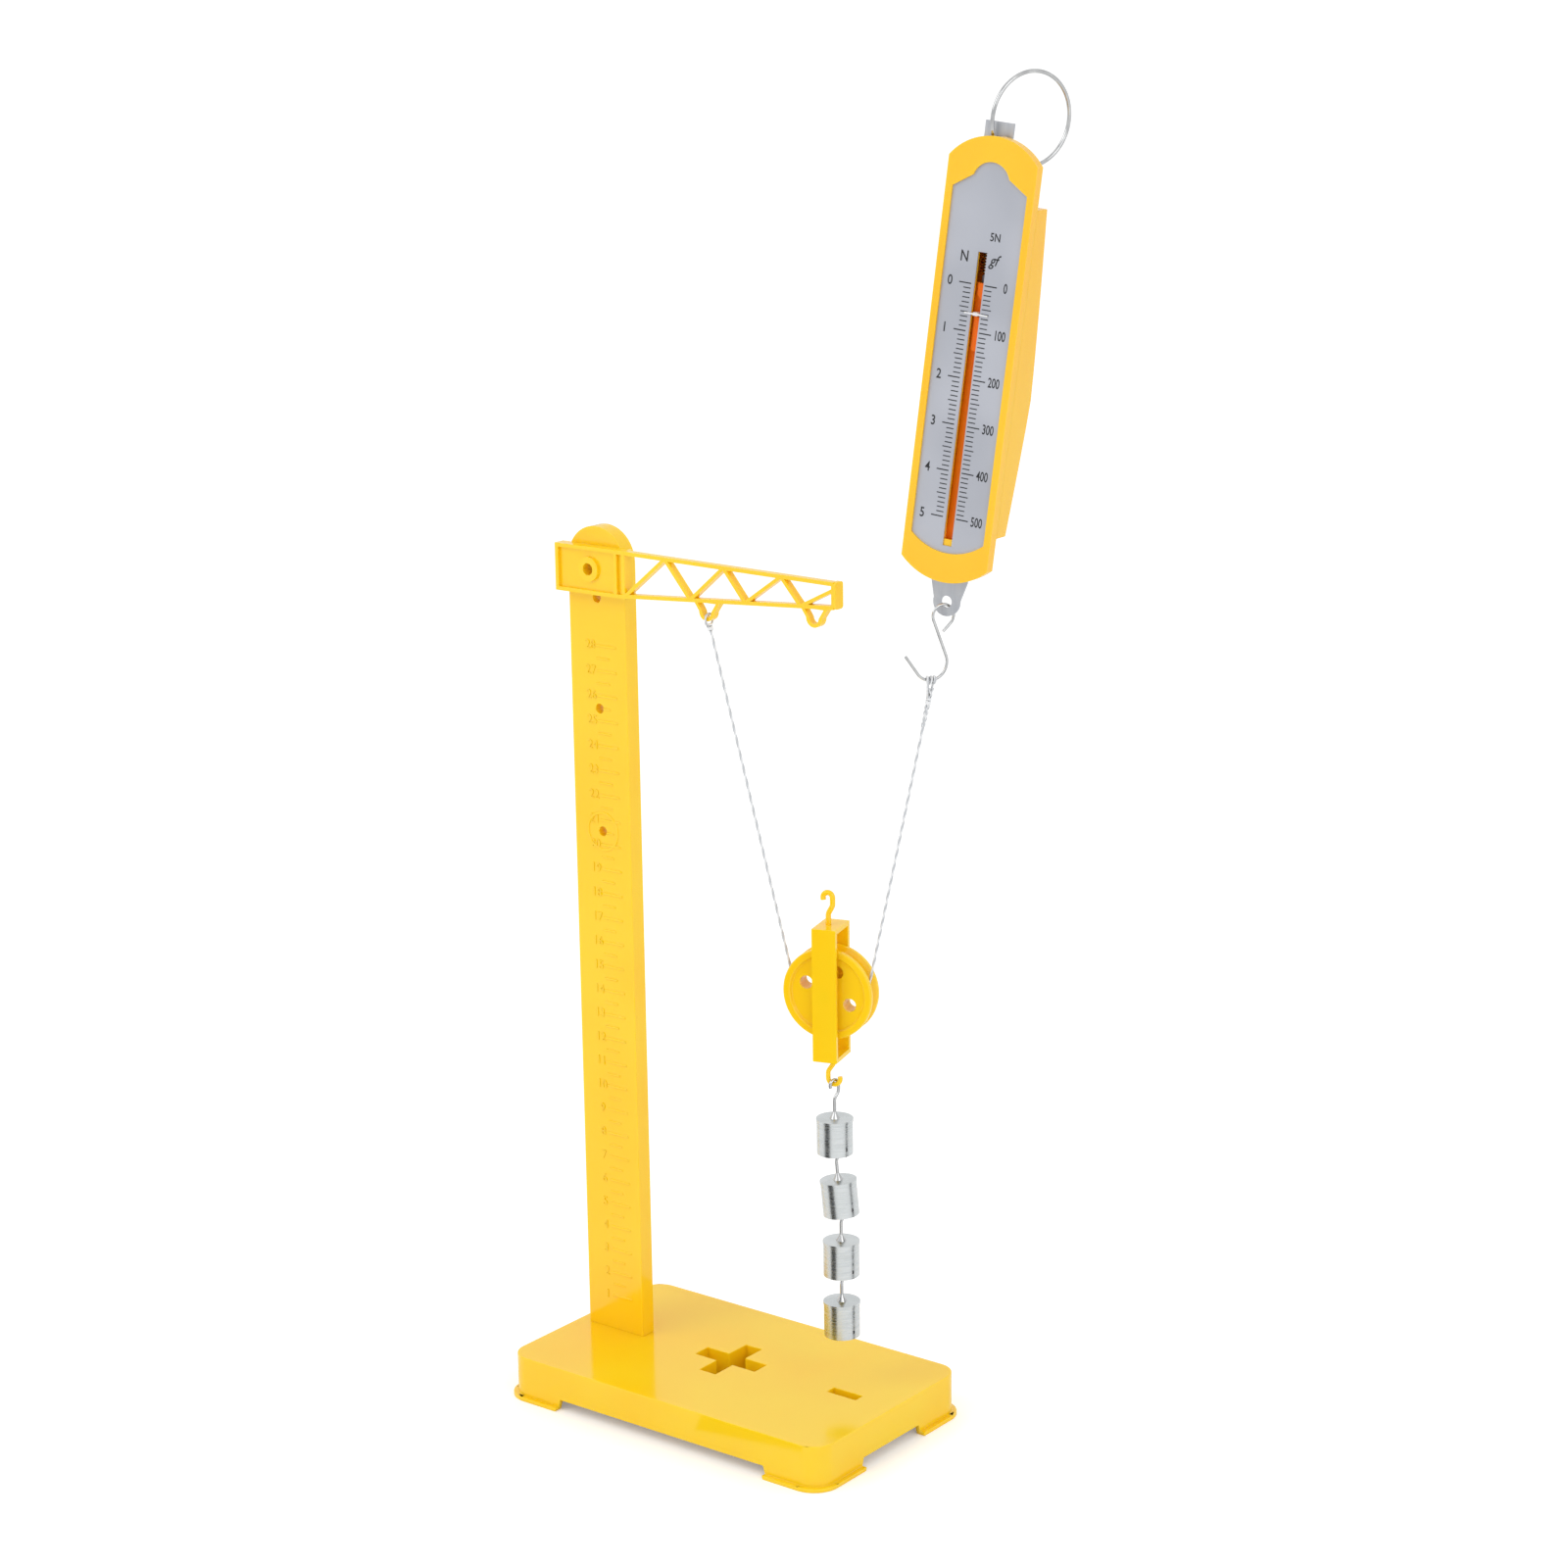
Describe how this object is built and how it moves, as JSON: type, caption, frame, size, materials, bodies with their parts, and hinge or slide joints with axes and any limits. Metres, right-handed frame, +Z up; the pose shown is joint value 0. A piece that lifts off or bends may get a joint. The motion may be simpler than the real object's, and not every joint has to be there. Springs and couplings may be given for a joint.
{
  "type": "pulley demonstrator",
  "caption": "Teaching stand with a truss jib, a moving pulley in a loop of string, a chain of hooked weights and a flat spring balance on the string's free end.",
  "frame": {"origin": "centre of the base's footprint, on the table", "axes": "+X from the column to the free end of the base, +Y to the back, +Z up"},
  "size_m": [0.2035, 0.1113, 0.5232],
  "materials": {
    "yellow_plastic": "gloss",
    "zinc": "zinc plated",
    "steel_wire": "nickel plated",
    "string": "twisted white cotton",
    "scale_paint": "satin silver with black printing",
    "orange_plastic": "gloss",
    "pointer_white": "gloss"
  },
  "bodies": {
    "stand": {"base": "yellow_plastic", "column": "yellow_plastic", "jib": "yellow_plastic", "string_left": "string", "string_tie": "string"},
    "pulley_block": {"pulley_yoke": "yellow_plastic", "pulley_axle": "steel_wire", "string_wrap": "string"},
    "sheave": {"sheave": "yellow_plastic"},
    "string_end": {"s_hook": "steel_wire", "string_loop": "string", "string_right": "string"},
    "drawbar": {"drawbar": "steel_wire", "pointer_carrier": "orange_plastic", "pointer": "pointer_white", "spring": "steel_wire"},
    "case": {"case_front": "yellow_plastic", "case_back": "yellow_plastic", "case_screws": "steel_wire", "scale_plate": "scale_paint", "top_tab": "steel_wire"},
    "ring": {"hanging_ring": "steel_wire"},
    "weight_1": {"weight_1": "zinc", "weight_hook_1": "steel_wire", "weight_pin_1": "steel_wire"},
    "weight_2": {"weight_2": "zinc", "weight_hook_2": "steel_wire", "weight_pin_2": "steel_wire"},
    "weight_3": {"weight_3": "zinc", "weight_hook_3": "steel_wire", "weight_pin_3": "steel_wire"},
    "weight_4": {"weight_4": "zinc", "weight_hook_4": "steel_wire", "weight_pin_4": "steel_wire"}
  },
  "joints": [
    {"name": "pulley_lift", "type": "slide", "parent": "stand", "child": "pulley_block", "axis": [0, 0, 1], "range_m": [-0.0195, 0.05], "deforming": ["string_left"]},
    {"name": "sheave_spin", "type": "hinge", "parent": "pulley_block", "child": "sheave", "pos_m": [0.04566, 0.00709, 0.179], "axis": [0.2756, -0.9613, 0], "range_deg": [-79, 198]},
    {"name": "string_pull", "type": "slide", "parent": "pulley_block", "child": "string_end", "axis": [0.2018, 0.0579, 0.9777], "range_m": [-0.0195, 0.0492], "deforming": ["string_right"]},
    {"name": "hook_swing", "type": "hinge", "parent": "string_end", "child": "drawbar", "pos_m": [0.08795, 0.02394, 0.33086], "axis": [0.5, 0.866, 0], "range_deg": [-12, 12]},
    {"name": "force_reading", "type": "slide", "parent": "drawbar", "child": "case", "axis": [0.1077, 0.0578, 0.9925], "range_m": [-0.01054, 0.07446], "deforming": ["spring"]},
    {"name": "ring_swing", "type": "hinge", "parent": "case", "child": "ring", "pos_m": [0.10377, 0.03321, 0.49629], "axis": [0.127, 0.5453, -0.8286], "range_deg": [-20, 20]},
    {"name": "weight_swing_1", "type": "hinge", "parent": "pulley_block", "child": "weight_1", "pos_m": [0.04653, 0.00734, 0.1414], "axis": [-0.9703, 0.2419, 0], "range_deg": [-12, 12]},
    {"name": "weight_swing_2", "type": "hinge", "parent": "weight_1", "child": "weight_2", "pos_m": [0.04653, 0.00734, 0.1164], "axis": [-0.9703, 0.2419, 0], "range_deg": [-12, 12]},
    {"name": "weight_swing_3", "type": "hinge", "parent": "weight_2", "child": "weight_3", "pos_m": [0.04862, 0.00794, 0.0915], "axis": [-0.9703, 0.2419, 0], "range_deg": [-12, 12]},
    {"name": "weight_swing_4", "type": "hinge", "parent": "weight_3", "child": "weight_4", "pos_m": [0.04862, 0.00794, 0.0665], "axis": [-0.9703, 0.2419, 0], "range_deg": [-12, 12]}
  ],
  "couplings": [
    {"joint": "sheave_spin", "follows": "pulley_lift", "rad_per_m": 68.077},
    {"joint": "string_pull", "follows": "pulley_lift", "ratio": 0.9735}
  ]
}
